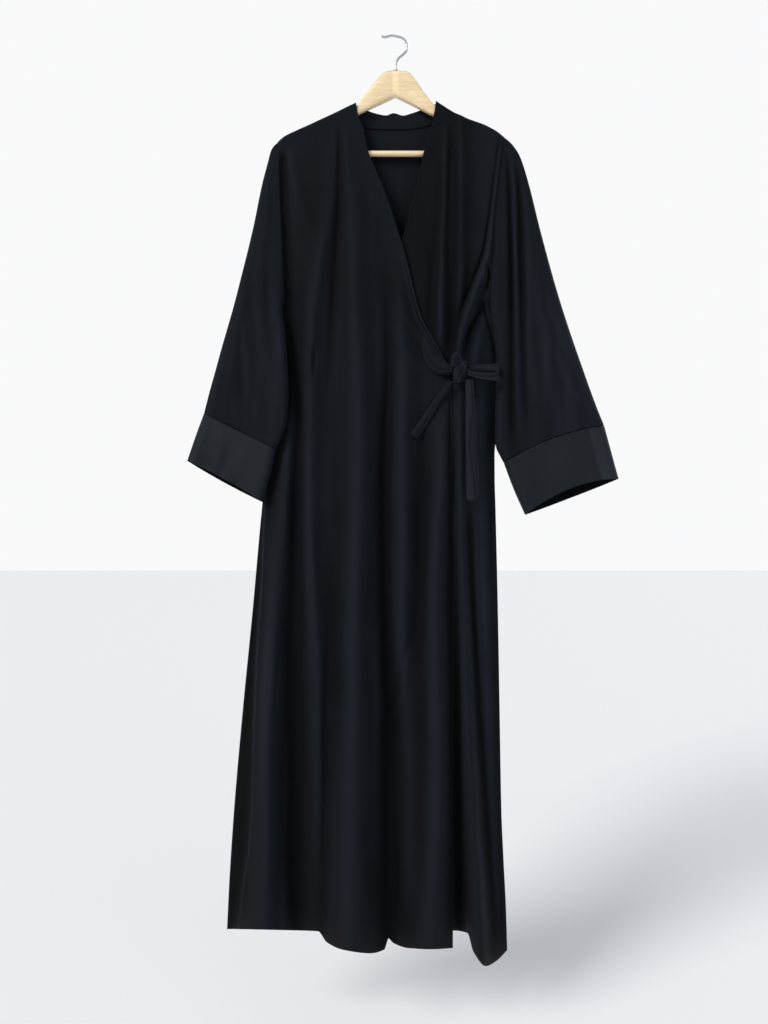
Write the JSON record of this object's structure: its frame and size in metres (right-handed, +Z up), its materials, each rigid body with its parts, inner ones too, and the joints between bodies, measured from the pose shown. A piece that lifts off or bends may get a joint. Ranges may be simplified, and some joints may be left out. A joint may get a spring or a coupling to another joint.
{
  "type": "wrap abaya cloak on a wooden hanger",
  "caption": "Black wrap abaya with wide cuffed sleeves and a side tie bow, hanging on a wooden hanger with a metal hook and a trouser bar.",
  "frame": {"origin": "inside top of the hanger's hook, where it bears on a rail or nail", "axes": "+Z up, along the hanging garment's length; -Y faces the front, +Y the wall; +X towards the picture's right, the wearer's left"},
  "size_m": [0.742, 0.1153, 1.5846],
  "materials": {
    "cloth": "matte crepe",
    "cuff_cloth": "smooth satin-backed crepe",
    "wood": "clear satin lacquer",
    "steel": "polished chrome plate"
  },
  "bodies": {
    "root": {"front_right": "cloth", "front_left": "cloth", "back": "cloth", "neckband": "cloth", "sleeve_right": "cloth", "sleeve_left": "cloth", "cuff_right": "cuff_cloth", "cuff_left": "cuff_cloth", "tie_band": "cloth", "tie_knot": "cloth", "tie_loop": "cloth", "tie_tail_short": "cloth", "tie_tail_long": "cloth", "hanger_body": "wood", "hanger_bar": "wood", "hanger_hook": "steel"}
  },
  "joints": []
}
